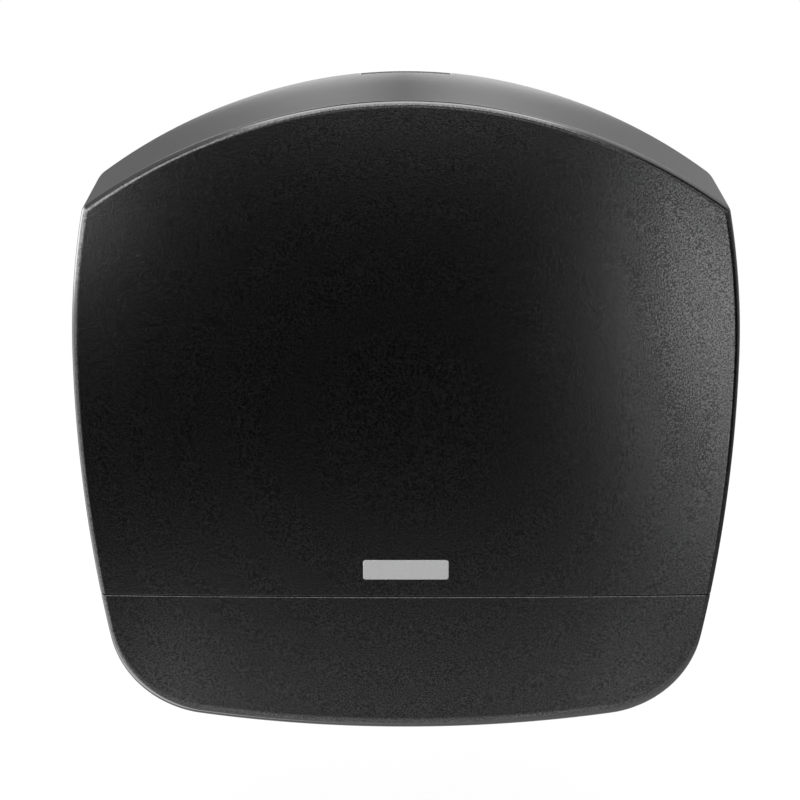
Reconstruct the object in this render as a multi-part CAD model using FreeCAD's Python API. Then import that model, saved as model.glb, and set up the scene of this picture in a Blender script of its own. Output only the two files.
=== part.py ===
import FreeCAD, Part
import math
import os

# A wall dispenser for one jumbo toilet roll and one nearly used roll, in millimetres.
# The origin is on the wall, at the centre of the four wall screws. The front faces -Y, up is +Z.

# Outline of the cover, seen from the front
half_width = 201.9
top_z = 198.1
bottom_z = -199.6
widest_z = 43.7
top_arch_radius = 306.0
top_arch_half_degrees = 12.0
top_flank_radius = 341.5
upper_side_radius = 468.0
lower_side_radius = 948.0
bottom_arch_radius = 950.0
lower_corner_radius = 64.2
shoulder_front_radius = 6.0
shoulder_rear_radius = 17.6

# Depth and the domed front
front_y = -133.0
outline_y = -128.0
side_front_y = -114.0
rim_y = -1.0
dome_radius = 4400.0
top_draft_degrees = 0.5
side_draft_degrees = 2.5
top_edge_radius = 3.5
bottom_edge_radius = 8.5
bottom_edge_start_z = -135.0
bottom_edge_full_z = -186.0
edge_last_degrees = 82.0
edge_run_on = 0.3
outer_edge_steps = 3
inner_edge_steps = 2
least_radius = 0.4

# How far a cutting shape runs past the faces it cuts
past = 1.0

# Walls of the two cover parts and the seam between them
cover_wall = 3.0
seam_z = -109.5
seam_gap = 0.5
lap_gap = 0.25
lap_wall = 2.0
lap_height = 10.0
lap_rear_y = -22.0
lap_root_overlap = 0.5

# Bare plate on the front
name_plate_width = 52.9
name_plate_height = 12.7
name_plate_z = -91.6
name_plate_corner = 1.6
name_plate_recess = 0.6
name_plate_proud = 0.3
name_plate_gap = 0.15

# Stiffening ribs inside the front
front_rib_positions = (-90.0, 0.0, 90.0)
front_rib_rear_y = -126.5
front_rib_low_z = -70.0
front_rib_high_z = 140.0

# Wall plate
plate_front_y = -6.0
plate_wall = 2.5
plate_clearance = 1.2
plate_lift = 22.0
plate_rim_depth = 14.0
plate_rim_wall = 2.2
plate_rim_low_z = -90.0
plate_notch_margin = 2.0
rib_wall = 2.0
rib_pitch = 66.0
pilot_rear_y = -1.0

# Holes for the four wall screws
wall_hole_side = 51.9
wall_hole_z = 90.0
wall_hole_radius = 2.75
wall_boss_radius = 9.0
wall_boss_height = 2.5

# Cover hinge
hinge_y = -22.0
hinge_z = -186.0
hinge_x = 105.0
hinge_pin_radius = 2.5
hinge_running_gap = 0.05
hinge_side_gap = 0.4
knuckle_radius = 6.5
knuckle_length = 12.0
ear_length = 8.0
ear_arm_rise = 28.0
ear_arm_height = 13.0
swing_edge = 3.0

# Paper opening and the toothed strip
slot_side = 89.9
slot_front_y = -113.0
slot_rear_y = -46.0
slot_corner = 9.0
slot_kerb_height = 14.0
tear_bar_wall = 1.2
tear_bar_width = 8.0
tooth_pitch = 6.0
tooth_depth = 4.0
tear_bar_back_y = -119.0
tear_bar_gap = 0.02
rivet_radius = 1.6
rivet_head_radius = 3.0
rivet_head_height = 1.4

# Screws that hold the lower cover
tab_positions = (-130.0, 0.0, 130.0)
tab_screw_z = -84.0
tab_width = 16.0
tab_wall = 2.5
tab_boss_radius = 4.5
tab_boss_rear_y = -117.0
tab_rise = 2.0
tab_screw_depth = 9.0

# Screws, by shank radius, with heads in proportion
small_screw_radius = 1.5
screw_radius = 2.0
head_ratio = 1.9
head_height_ratio = 1.15
head_sides = 12
shank_sides = 8
screw_tip_gap = 0.5

# Push button and latch
button_half_width = 28.7
button_front_y = -7.4
button_rear_y = -1.6
button_wall = 3.0
button_gap = 0.6
button_travel = 5.0
slider_half_width = 20.0
slider_rear_y = -6.8
slider_wall = 2.7
slider_low_z = 150.0
slider_top_z = 192.0
socket_rear_y = -2.6
socket_low_z = 184.0
button_screw_x = 16.6
button_screw_z = 188.0
button_screw_hole = 3.0
tongue_front_y = -18.0
tongue_wall = 3.0
tongue_ramp = 2.25
tongue_half_width = 12.0
tongue_top_z = 187.8
tongue_shelf_z = 168.0
tongue_shelf_wall = 4.0
spring_shelf_half_width = 16.0
spring_shelf_wall = 3.0
catch_gap = 0.3
catch_wall = 2.5
catch_pad_margin = 2.0
catch_half_width = 13.0
catch_low_z = 184.0
catch_foot_wall = 2.0
catch_foot_front_y = -31.0
catch_foot_top_z = 191.0
catch_screw_x = 8.0
catch_screw_y = -25.0
catch_screw_hole = 4.5
housing_wall = 4.0
housing_rail = 40.0
housing_gap = 0.3
housing_lip = 3.0
housing_flange = 11.0
housing_flange_wall = 2.5
housing_boss_radius = 4.0
spring_height = 10.0
spring_half_span = 15.0
spring_wall = 0.5
spring_width = 6.0
spring_end_gap = 0.1

# Flange of both roll holders
post_flange_wall = 4.0

# Holder of the main roll
spindle_z = 40.0
spindle_flange_radius = 30.0
spindle_radius = 12.0
spindle_bore_radius = 8.0
spindle_end_wall = 16.0
spindle_screw_circle = 22.0
spindle_screws = 3
hub_core_radius = 28.0
hub_tube_outer = 15.0
hub_length = 88.0
hub_flange_radius = 44.0
hub_flange_wall = 2.2
hub_fins = 6
hub_fin_wall = 2.4
hub_nose_taper = 14.0
hub_nose_step = 5.0
hub_gap = 0.6
hub_running_gap = 0.06
cap_radius = 20.0
cap_wall = 3.0
cap_screw_radius = 2.5
cap_screw_depth = 12.0

# Holder of the nearly used roll
stub_side = 76.9
stub_z = -112.0
stub_flange_radius = 22.0
stub_radius = 8.0
stub_bore_radius = 2.0
stub_bore_depth = 20.0
stub_screw_circle = 16.0
stub_screws = 2
stub_hub_outer = 11.0
stub_core_radius = 17.0
stub_hub_length = 80.0
stub_flange_disc_radius = 27.0
stub_fins = 5
stub_washer_wall = 1.5
stub_washer_radius = 13.0

# Worked out from the sizes above
far = 3.0 * half_width
top_slope = math.tan(math.radians(top_draft_degrees))
side_slope = math.tan(math.radians(side_draft_degrees))
seam_low_z = seam_z - seam_gap / 2
seam_high_z = seam_z + seam_gap / 2
plate_rear_y = plate_front_y + plate_wall
plate_inset = cover_wall + plate_clearance
slider_front_y = slider_rear_y - slider_wall
tongue_rear_y = tongue_front_y + tongue_wall
catch_front_y = tongue_rear_y + catch_gap
catch_rear_y = catch_front_y + catch_wall
housing_front_y = slider_front_y - housing_gap - housing_lip
housing_floor_top = slider_low_z - spring_height
housing_floor_z = housing_floor_top - housing_wall
housing_top_z = housing_floor_z + housing_rail
slot_half_width = half_width - slot_side
stub_x = half_width - stub_side
wall_hole_x = half_width - wall_hole_side
hub_rear_y = plate_front_y - post_flange_wall - hub_gap - screw_radius * head_height_ratio
hub_front_y = hub_rear_y - hub_length
spindle_end_y = hub_front_y - hub_gap
stub_hub_front_y = hub_rear_y - stub_hub_length
stub_end_y = stub_hub_front_y - hub_gap


def vec(x, y, z):
    return FreeCAD.Vector(x, y, z)


def box(x0, x1, y0, y1, z0, z1):
    """A block between three pairs of coordinates"""
    return Part.makeBox(x1 - x0, y1 - y0, z1 - z0, vec(x0, y0, z0))


def rod_y(x, z, y0, y1, radius):
    """A cylinder along Y"""
    return Part.makeCylinder(radius, y1 - y0, vec(x, y0, z), vec(0, 1, 0))


def rod_x(y, z, x0, x1, radius):
    """A cylinder along X"""
    return Part.makeCylinder(radius, x1 - x0, vec(x0, y, z), vec(1, 0, 0))


def join(shapes):
    """One clean solid from several that touch or overlap"""
    first, *rest = shapes
    return first.fuse(rest).removeSplitter() if rest else first


def both_sides(shape):
    """The shape and its mirror image on the other side of the centre line"""
    return [shape, shape.mirror(vec(0, 0, 0), vec(1, 0, 0))]


def edges_along(shape, direction):
    """The straight edges of a block that run along a direction"""
    return [e for e in shape.Edges if e.tangentAt(e.FirstParameter).cross(direction).Length < 0.5]


def screw_hole(x, z, y0, y1, radius):
    """A hole for a screw along Y, drawn with as few sides as the screws"""
    return bar(vec(x, y0, z), vec(0, 1, 0), radius, y1 - y0, shank_sides)


def bar(at, axis, radius, length, sides):
    """A straight bar with a many-sided section, from a point along an axis"""
    corners = [vec(radius * math.cos(2 * math.pi * k / sides), radius * math.sin(2 * math.pi * k / sides), 0)
               for k in range(sides + 1)]
    solid = Part.Face(Part.makePolygon(corners)).extrude(vec(0, 0, length))
    solid.Placement = FreeCAD.Placement(at, FreeCAD.Rotation(vec(0, 0, 1), axis))
    return solid


def screw(at, towards, shank_radius, length):
    """A screw whose head rests on the point at, with its shank in the given direction, drawn with few sides"""
    axis = FreeCAD.Vector(*towards)
    shank = bar(at, axis, shank_radius, length, shank_sides)
    head = bar(at, axis * -1, shank_radius * head_ratio, shank_radius * head_height_ratio, head_sides)
    return join([head, shank])


# Outline of the cover

def crossing(centre_a, radius_a, centre_b, radius_b, up):
    """Where two circles in the XZ plane cross, on the +X side: the upper or the lower point"""
    gap = centre_b - centre_a
    along = (gap.Length ** 2 + radius_a ** 2 - radius_b ** 2) / (2 * gap.Length)
    across = math.sqrt(radius_a ** 2 - along ** 2)
    unit = gap / gap.Length
    foot = centre_a + unit * along
    side = vec(-unit.z, 0, unit.x) * across
    points = [p for p in (foot + side, foot - side) if p.x > 0]
    return max(points, key=lambda p: p.z) if up else min(points, key=lambda p: p.z)


def flip(point):
    return vec(-point.x, point.y, point.z)


def shoulder_radius(y):
    """Radius of the two upper corners: large at the wall and small at the front"""
    share = min((rim_y - y) / (rim_y - side_front_y), 1.0)
    return shoulder_rear_radius + share * (shoulder_front_radius - shoulder_rear_radius)


def outline_arcs(y, inset):
    """The twelve arcs of the outline at a depth, clockwise, each as its centre, radius and two ends"""
    top_step = inset - (y - outline_y) * top_slope
    step = inset - (y - outline_y) * side_slope
    shoulder = shoulder_radius(y) - inset
    corner = lower_corner_radius - step
    half_turn = math.radians(top_arch_half_degrees)
    lean = vec(math.sin(half_turn), 0, math.cos(half_turn))
    top = vec(0, 0, top_z - top_arch_radius)
    flank = top + lean * (top_arch_radius - top_flank_radius)
    upper = vec(half_width - upper_side_radius, 0, widest_z)
    lower = vec(half_width - lower_side_radius, 0, widest_z)
    bottom = vec(0, 0, bottom_z + bottom_arch_radius)
    top_r = top_arch_radius - top_step
    flank_r = top_flank_radius - top_step
    upper_r = upper_side_radius - step
    lower_r = lower_side_radius - step
    bottom_r = bottom_arch_radius - step
    shoulder_c = crossing(flank, flank_r - shoulder, upper, upper_r - shoulder, True)
    corner_c = crossing(lower, lower_r - corner, bottom, bottom_r - corner, False)
    top_end = top + lean * top_r
    flank_end = shoulder_c + (shoulder_c - flank).normalize() * shoulder
    upper_start = shoulder_c + (shoulder_c - upper).normalize() * shoulder
    widest = vec(half_width - step, 0, widest_z)
    lower_end = corner_c + (corner_c - lower).normalize() * corner
    bottom_start = corner_c + (corner_c - bottom).normalize() * corner
    right = [
        (flank, flank_r, top_end, flank_end),
        (shoulder_c, shoulder, flank_end, upper_start),
        (upper, upper_r, upper_start, widest),
        (lower, lower_r, widest, lower_end),
        (corner_c, corner, lower_end, bottom_start),
    ]
    left = [(flip(c), r, flip(end), flip(start)) for c, r, start, end in reversed(right)]
    arch = [(top, top_r, flip(top_end), top_end)]
    base = [(bottom, bottom_r, bottom_start, flip(bottom_start))]
    return arch + right + base + left


def arc_points(centre, radius, start, end):
    """Start, middle and end of an arc, each with its outward direction"""
    middle = centre + ((start - centre) + (end - centre)).normalize() * radius
    return [(p, (p - centre).normalize()) for p in (start, middle, end)]


def outline(y, inset=0.0):
    """The closed outline of the cover at a depth, moved inwards by the inset"""
    edges = [Part.Arc(*[p for p, _ in arc_points(*arc)]).toShape() for arc in outline_arcs(y, inset)]
    wire = Part.Wire(edges)
    wire.translate(vec(0, y, 0))
    return wire


def prism(y0, y1, inset):
    """The outline carried straight from one depth to another"""
    return Part.Face(outline(y0, inset)).extrude(vec(0, y1 - y0, 0))


def dome_y(point, inset=0.0):
    """Depth of the domed front above a point of the outline"""
    sagitta = dome_radius - inset - math.sqrt((dome_radius - inset) ** 2 - point.x ** 2 - point.z ** 2)
    return front_y + inset + sagitta


def edge_radius(point, inset):
    """Radius of the front edge: small along the top and sides, larger along the bottom"""
    share = (bottom_edge_start_z - point.z) / (bottom_edge_start_z - bottom_edge_full_z)
    share = min(max(share, 0.0), 1.0)
    radius = top_edge_radius + share * (bottom_edge_radius - top_edge_radius)
    return max(radius - inset, least_radius)


def edge_section(inset, degrees, run_on=0.0):
    """The outline where the round front edge has turned by an angle, then run on straight, on the dome"""
    turn = math.radians(degrees)
    edges = []
    for arc in outline_arcs(outline_y, inset):
        points = []
        for point, outward in arc_points(*arc):
            radius = edge_radius(point, inset)
            slope = side_slope + max(outward.z, 0.0) * (top_slope - side_slope)
            flare = (dome_y(point, inset) + radius - outline_y) * slope
            inwards = radius * (1 - math.cos(turn) + run_on * math.sin(turn)) - flare
            back = radius * (1 - math.sin(turn) - run_on * math.cos(turn))
            moved = point - outward * inwards
            points.append(vec(moved.x, dome_y(moved, inset) + back, moved.z))
        edges.append(Part.Arc(*points).toShape())
    return Part.Wire(edges)


def dome_ball(inset):
    """The ball whose skin is the domed front, moved inwards by the inset"""
    return Part.makeSphere(dome_radius - inset, vec(0, front_y + dome_radius, 0))


def domed_form(inset, rear_y, steps):
    """The filled shape of the cover, moved inwards: drafted sides, round front edge, domed front"""
    sections = [outline(rear_y, inset), outline(side_front_y, inset)]
    sections += [edge_section(inset, edge_last_degrees * k / steps) for k in range(steps + 1)]
    sections.append(edge_section(inset, edge_last_degrees, edge_run_on))
    sections.append(outline(front_y - cover_wall, inset + edge_radius(vec(0, 0, top_z), inset)))
    return Part.makeLoft(sections, True, True).common(dome_ball(inset))


# The two parts of the cover

def above(z):
    return box(-far, far, -far, far, z, far)


def below(z):
    return box(-far, far, -far, far, -far, z)


def name_plate_shape(grow, inner_inset, outer_inset):
    """A round-cornered patch that follows the dome between two insets"""
    half_w = name_plate_width / 2 + grow
    half_h = name_plate_height / 2 + grow
    patch = box(-half_w, half_w, front_y - cover_wall, front_y + 2 * cover_wall,
                name_plate_z - half_h, name_plate_z + half_h)
    patch = patch.makeFillet(name_plate_corner + grow, edges_along(patch, vec(0, 1, 0)))
    return patch.common(dome_ball(outer_inset)).cut(dome_ball(inner_inset))


def screw_tab_bosses():
    """Bosses inside the front of the cover, which the tabs of the lower cover are screwed to"""
    return [rod_y(x, tab_screw_z, front_y, tab_boss_rear_y, tab_boss_radius)
            for x in tab_positions]


def button_notch(gap):
    """The space of the push button in the top of the cover, with a gap around it"""
    return box(-button_half_width - gap, button_half_width + gap, button_front_y - gap, far,
               socket_low_z - button_travel, far)


def make_cover_shell(outer, inner):
    shell = outer.cut(inner).common(above(seam_high_z))
    pad_low = catch_foot_top_z
    pad_half = catch_half_width + catch_pad_margin
    pad = box(-pad_half, pad_half, catch_foot_front_y, catch_front_y, pad_low, top_z)
    inside = [pad.common(outer)]
    inside += [boss.common(outer) for boss in screw_tab_bosses()]
    for x in front_rib_positions:
        rib = box(x - rib_wall / 2, x + rib_wall / 2, front_y, front_rib_rear_y,
                  front_rib_low_z, front_rib_high_z)
        inside.append(rib.common(outer))
    shell = join([shell] + inside)
    shell = shell.cut(button_notch(button_gap))
    for x in (-catch_screw_x, catch_screw_x):
        shell = shell.cut(bar(vec(x, catch_screw_y, pad_low), vec(0, 0, 1), small_screw_radius,
                              catch_screw_hole, shank_sides))
    for x in tab_positions:
        shell = shell.cut(screw_hole(x, tab_screw_z, tab_boss_rear_y - tab_screw_depth, tab_boss_rear_y,
                                     small_screw_radius))
    return shell.cut(name_plate_shape(name_plate_gap, name_plate_recess, -cover_wall))


def make_name_plate():
    return name_plate_shape(0.0, name_plate_recess, -name_plate_proud)


def lap_ring(inner_inset, outer_inset, low, high):
    """A ring inside the cover wall that stops short of the wall plate"""
    ring = domed_form(outer_inset, lap_rear_y, inner_edge_steps)
    ring = ring.cut(domed_form(inner_inset, lap_rear_y + past, inner_edge_steps))
    return ring.common(above(low)).common(below(high))


def bottom_band(low_inset, high_inset):
    """The band between two insets of the bottom arch, over the whole depth"""
    def disc(inset):
        centre = vec(0, front_y, bottom_z + bottom_arch_radius)
        front_radius = bottom_arch_radius - inset + (front_y - outline_y) * side_slope
        return Part.makeCone(front_radius, front_radius - front_y * side_slope, -front_y, centre, vec(0, 1, 0))
    slab = box(-half_width, half_width, front_y, 0, -far, 0)
    return slab.common(disc(low_inset)).cut(disc(high_inset))


def paper_slot():
    """The opening that the paper hangs through"""
    slot = box(-slot_half_width, slot_half_width, slot_front_y, slot_rear_y, -far, bottom_z + slot_kerb_height)
    return slot.makeFillet(slot_corner, edges_along(slot, vec(0, 0, 1)))


def hinge_knuckles():
    """A knuckle beside each hinge ear, with a web down to the bottom of the cover"""
    end = hinge_x - ear_length / 2 - hinge_side_gap
    start = end - knuckle_length
    barrel = rod_x(hinge_y, hinge_z, start, end, knuckle_radius)
    web = box(start, end, hinge_y - knuckle_radius, hinge_y + swing_edge, -far, hinge_z)
    bore = rod_x(hinge_y, hinge_z, start, end, hinge_pin_radius + hinge_running_gap)
    return both_sides(join([barrel, web]).cut(bore))


def make_lower_cover(outer, inner):
    shell = outer.cut(inner).common(below(seam_low_z))
    step_inset = cover_wall + lap_gap
    lap = lap_ring(step_inset + lap_wall, step_inset, seam_low_z - lap_root_overlap, seam_high_z + lap_height)
    root = lap_ring(step_inset + lap_wall, cover_wall - lap_root_overlap, seam_low_z - lap_height, seam_low_z)
    pieces = [shell, lap, root]
    slot_kerb = box(-slot_half_width, slot_half_width, slot_rear_y, slot_rear_y + rib_wall,
                    -far, bottom_z + slot_kerb_height)
    pieces.append(slot_kerb.common(outer))
    pieces += [knuckle.common(outer) for knuckle in hinge_knuckles()]
    for x in tab_positions:
        top = tab_screw_z + tab_width / 2
        lap_y = dome_y(vec(x, 0, seam_z), step_inset)
        foot = box(x - tab_width / 2, x + tab_width / 2, lap_y, tab_boss_rear_y + tab_wall,
                   seam_high_z + tab_rise, seam_high_z + tab_rise + tab_wall)
        plate = box(x - tab_width / 2, x + tab_width / 2, tab_boss_rear_y, tab_boss_rear_y + tab_wall,
                    seam_high_z + tab_rise, top)
        pieces.append(join([foot, plate]))
    cover = join(pieces)
    for x in tab_positions:
        cover = cover.cut(screw_hole(x, tab_screw_z, tab_boss_rear_y, tab_boss_rear_y + tab_wall,
                                     small_screw_radius))
    cover = cover.cut(paper_slot())
    cover = cover.cut(box(-far, far, hinge_y + swing_edge, far, -far, hinge_z))
    for rivet in tear_bar_rivets(rivet_radius):
        cover = cover.cut(rivet)
    return cover


# Toothed strip

def make_tear_bar():
    """A strip that lies on the bottom of the cover, with teeth over the edge of the slot"""
    back_y = tear_bar_back_y
    root_y = back_y + tear_bar_width
    edge_y = root_y + tooth_depth
    count = int(2 * slot_half_width // tooth_pitch) - 2
    start = -count * tooth_pitch / 2
    half_length = slot_half_width + tear_bar_width
    points = [vec(-half_length, back_y, 0), vec(-half_length, root_y, 0), vec(start, root_y, 0)]
    for tooth in range(count):
        left = start + tooth * tooth_pitch
        points.append(vec(left + tooth_pitch / 2, edge_y, 0))
        points.append(vec(left + tooth_pitch, root_y, 0))
    points += [vec(half_length, root_y, 0), vec(half_length, back_y, 0), points[0]]
    strip = Part.Face(Part.makePolygon(points))
    strip.translate(vec(0, 0, -far))
    seat_inset = cover_wall + tear_bar_gap
    strip = strip.extrude(vec(0, 0, far)).common(bottom_band(seat_inset, seat_inset + tear_bar_wall))
    for rivet in tear_bar_rivets(rivet_radius):
        strip = strip.cut(rivet)
    return strip


def tear_bar_rivets(radius):
    """The two rivets, square to the drafted bottom arch"""
    angle = math.asin((slot_half_width + tear_bar_width / 2) / bottom_arch_radius)
    at_y = tear_bar_back_y + tear_bar_width / 2
    length = cover_wall + tear_bar_gap + tear_bar_wall
    seat_radius = bottom_arch_radius - length + (at_y - outline_y) * side_slope
    down = vec(math.sin(angle), 0, -math.cos(angle))
    seat = vec(0, at_y, bottom_z + bottom_arch_radius) + down * seat_radius
    out = (down - vec(0, side_slope, 0)).normalize()
    return both_sides(bar(seat, out, radius, length, shank_sides))


def make_rivets():
    rivets = []
    for shank in tear_bar_rivets(rivet_radius):
        flat = max(shank.Faces, key=lambda f: f.CenterOfMass.z)
        head = bar(flat.CenterOfMass, flat.normalAt(0, 0), rivet_head_radius, rivet_head_height, head_sides)
        rivets.append(join([shank, head]))
    return rivets


# Wall plate

def wall_plate_area(y0, y1, inset):
    """The wall plate's own outline: the cover's, moved inwards, with the lower edge raised"""
    lifted = prism(y0, y1, inset)
    lifted.translate(vec(0, 0, plate_lift))
    return prism(y0, y1, inset).common(lifted)


def circle_points(circle_radius, centre_x, centre_z, count):
    return [(centre_x + circle_radius * math.cos(math.radians(90 + 360 * k / count)),
             centre_z + circle_radius * math.sin(math.radians(90 + 360 * k / count))) for k in range(count)]


def spindle_screw_points():
    return circle_points(spindle_screw_circle, 0, spindle_z, spindle_screws)


def stub_screw_points():
    return circle_points(stub_screw_circle, stub_x, stub_z, stub_screws)


def wall_hole_points():
    return [(x, z) for x in (-wall_hole_x, wall_hole_x) for z in (-wall_hole_z, wall_hole_z)]


def housing_screw_points():
    x = slider_half_width + housing_gap + housing_lip + housing_flange / 2
    return [(side * x, housing_floor_z + housing_rail / 2) for side in (-1, 1)]


def hinge_ear():
    """The arm that carries a hinge pin: over the swinging edge of the cover, then down to the pin"""
    x0 = hinge_x - ear_length / 2
    arm = join([
        rod_x(hinge_y, hinge_z, x0, x0 + ear_length, knuckle_radius),
        box(x0, x0 + ear_length, hinge_y - knuckle_radius, hinge_y + knuckle_radius,
            hinge_z, hinge_z + ear_arm_rise),
        box(x0, x0 + ear_length, hinge_y - knuckle_radius, plate_front_y,
            hinge_z + ear_arm_rise - ear_arm_height, hinge_z + ear_arm_rise),
    ])
    return arm.cut(rod_x(hinge_y, hinge_z, x0, x0 + ear_length, hinge_pin_radius))


def make_wall_plate():
    area = wall_plate_area(plate_front_y, 0, plate_inset)
    panel = area.common(box(-far, far, plate_front_y, plate_rear_y, -far, far))
    edge_inset = plate_inset + plate_rim_wall
    edge = area.cut(wall_plate_area(plate_front_y - past, past, edge_inset))
    rim = prism(-plate_rim_depth, 0, plate_inset).cut(prism(-plate_rim_depth - past, past, edge_inset))
    rim = rim.common(above(plate_rim_low_z))
    ribs = []
    rib_area = wall_plate_area(plate_front_y, 0, plate_inset + plate_rim_wall / 2)
    count = int(half_width // rib_pitch)
    for k in range(-count, count + 1):
        at = k * rib_pitch
        for rib in (box(at - rib_wall / 2, at + rib_wall / 2, plate_front_y, 0, -far, far),
                    box(-far, far, plate_front_y, 0, at - rib_wall / 2, at + rib_wall / 2)):
            ribs.append(rib.common(rib_area))
    bosses = [rod_y(x, z, plate_front_y - wall_boss_height, 0, wall_boss_radius)
              for x, z in wall_hole_points()]
    bosses.append(rod_y(0, spindle_z, plate_rear_y, 0, spindle_flange_radius))
    bosses.append(rod_y(stub_x, stub_z, plate_rear_y, 0, stub_flange_radius))
    bosses += [rod_y(x, z, plate_rear_y, 0, housing_boss_radius) for x, z in housing_screw_points()]
    plate = join([panel, edge, rim] + ribs + bosses + both_sides(hinge_ear()))
    notch_half = button_half_width + button_gap + plate_notch_margin
    notch_low = socket_low_z - button_travel - button_gap
    plate = plate.cut(box(-notch_half, notch_half, -far, far, notch_low, far))
    for x, z in wall_hole_points():
        plate = plate.cut(rod_y(x, z, plate_front_y - wall_boss_height, 0, wall_hole_radius))
    for x, z in spindle_screw_points() + stub_screw_points():
        plate = plate.cut(screw_hole(x, z, plate_front_y, pilot_rear_y, screw_radius))
    for x, z in housing_screw_points():
        plate = plate.cut(screw_hole(x, z, plate_front_y, pilot_rear_y, small_screw_radius))
    return plate


def make_hinge_pins():
    outer_end = hinge_x + ear_length / 2
    inner_end = hinge_x - ear_length / 2 - hinge_side_gap - knuckle_length
    return both_sides(rod_x(hinge_y, hinge_z, inner_end, outer_end, hinge_pin_radius))


# Push button and latch

def make_release_button(outer):
    cap = box(-button_half_width, button_half_width, button_front_y, button_rear_y, socket_low_z, far)
    cap = cap.common(outer)
    under = domed_form(button_wall, rim_y + past, inner_edge_steps)
    cap = cap.cut(under)
    socket = box(-slider_half_width, slider_half_width, slider_rear_y, socket_rear_y, socket_low_z, top_z)
    button = join([cap, socket.common(outer)])
    for x in (-button_screw_x, button_screw_x):
        button = button.cut(screw_hole(x, button_screw_z, slider_rear_y, slider_rear_y + button_screw_hole,
                                       small_screw_radius))
    return button


def make_latch_slider():
    back = box(-slider_half_width, slider_half_width, slider_front_y, slider_rear_y, slider_low_z, slider_top_z)
    shelf = box(-tongue_half_width, tongue_half_width, tongue_front_y, slider_rear_y,
                tongue_shelf_z, tongue_shelf_z + tongue_shelf_wall)
    tongue = box(-tongue_half_width, tongue_half_width, tongue_front_y, tongue_rear_y,
                 tongue_shelf_z, tongue_top_z)
    ramp = max(tongue.Edges, key=lambda e: e.CenterOfMass.z - e.CenterOfMass.y)
    tongue = tongue.makeChamfer(tongue_ramp, [ramp])
    spring_shelf = box(-spring_shelf_half_width, spring_shelf_half_width, tongue_front_y, slider_rear_y,
                       slider_low_z, slider_low_z + spring_shelf_wall)
    slider = join([back, shelf, tongue, spring_shelf])
    for x in (-button_screw_x, button_screw_x):
        slider = slider.cut(screw_hole(x, button_screw_z, slider_front_y, slider_rear_y, small_screw_radius))
    return slider


def make_latch_housing():
    inner = slider_half_width + housing_gap
    outer = inner + housing_lip
    rail = join([
        box(inner, outer, housing_front_y, plate_front_y, housing_floor_z, housing_top_z),
        box(inner - housing_lip, outer, housing_front_y, slider_front_y - housing_gap,
            housing_floor_z, housing_top_z),
        box(outer, outer + housing_flange, plate_front_y - housing_flange_wall, plate_front_y,
            housing_floor_z, housing_top_z),
    ])
    floor = box(-outer, outer, tongue_front_y, plate_front_y, housing_floor_z, housing_floor_top)
    housing = join([floor] + both_sides(rail))
    for x, z in housing_screw_points():
        housing = housing.cut(screw_hole(x, z, plate_front_y - housing_flange_wall, plate_front_y,
                                         small_screw_radius))
    return housing


def make_latch_spring():
    """A bowed strip between the housing's floor and the slider"""
    low = housing_floor_top + spring_end_gap
    rise = spring_height - 2 * spring_end_gap
    radius = (spring_half_span ** 2 + rise ** 2) / (2 * rise)
    strip = box(-far, far, slider_front_y - spring_width, slider_front_y, low, low + rise)
    bow = rod_y(0, low + rise - radius, slider_front_y - spring_width, slider_front_y, radius)
    hollow = rod_y(0, low + rise - radius, slider_front_y - spring_width, slider_front_y, radius - spring_wall)
    return bow.cut(hollow).common(strip)


def make_catch_plate():
    lip = box(-catch_half_width, catch_half_width, catch_front_y, catch_rear_y, catch_low_z, catch_foot_top_z)
    foot = box(-catch_half_width, catch_half_width, catch_foot_front_y, catch_rear_y,
               catch_foot_top_z - catch_foot_wall, catch_foot_top_z)
    plate = join([lip, foot])
    for x in (-catch_screw_x, catch_screw_x):
        plate = plate.cut(bar(vec(x, catch_screw_y, catch_foot_top_z - catch_foot_wall), vec(0, 0, 1),
                              small_screw_radius, catch_foot_wall, shank_sides))
    return plate


# Main roll holder

def make_spindle_post():
    flange = rod_y(0, spindle_z, plate_front_y - post_flange_wall, plate_front_y, spindle_flange_radius)
    spindle = join([flange, rod_y(0, spindle_z, spindle_end_y, plate_front_y, spindle_radius)])
    bore_end_y = spindle_end_y + spindle_end_wall
    spindle = spindle.cut(rod_y(0, spindle_z, bore_end_y, plate_front_y, spindle_bore_radius))
    spindle = spindle.cut(screw_hole(0, spindle_z, spindle_end_y, spindle_end_y + cap_screw_depth,
                                     cap_screw_radius))
    for x, z in spindle_screw_points():
        spindle = spindle.cut(screw_hole(x, z, plate_front_y - post_flange_wall, plate_front_y, screw_radius))
    return spindle


def finned_hub(x, z, front_y, bore_radius, tube_radius, core_radius, fins, disc_radius):
    """A hub with radial fins that carry the core of a roll, and a disc behind them"""
    tube = rod_y(x, z, front_y, hub_rear_y, tube_radius)
    fin = box(0, core_radius, front_y, hub_rear_y, -hub_fin_wall / 2, hub_fin_wall / 2)
    blades = []
    for k in range(fins):
        blade = fin.copy()
        blade.rotate(vec(0, 0, 0), vec(0, 1, 0), 90 + 360 * k / fins)
        blade.translate(vec(x, 0, z))
        blades.append(blade)
    taper = Part.makeCone(core_radius - hub_nose_step, core_radius, hub_nose_taper,
                          vec(x, front_y, z), vec(0, 1, 0))
    envelope = join([taper, rod_y(x, z, front_y + hub_nose_taper, hub_rear_y, core_radius)])
    disc = rod_y(x, z, hub_rear_y - hub_flange_wall, hub_rear_y, disc_radius)
    hub = join([join([tube] + blades).common(envelope), disc])
    return hub.cut(rod_y(x, z, front_y, hub_rear_y, bore_radius))


def make_roll_hub():
    return finned_hub(0, spindle_z, hub_front_y, spindle_radius + hub_running_gap, hub_tube_outer,
                      hub_core_radius, hub_fins, hub_flange_radius)


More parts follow.
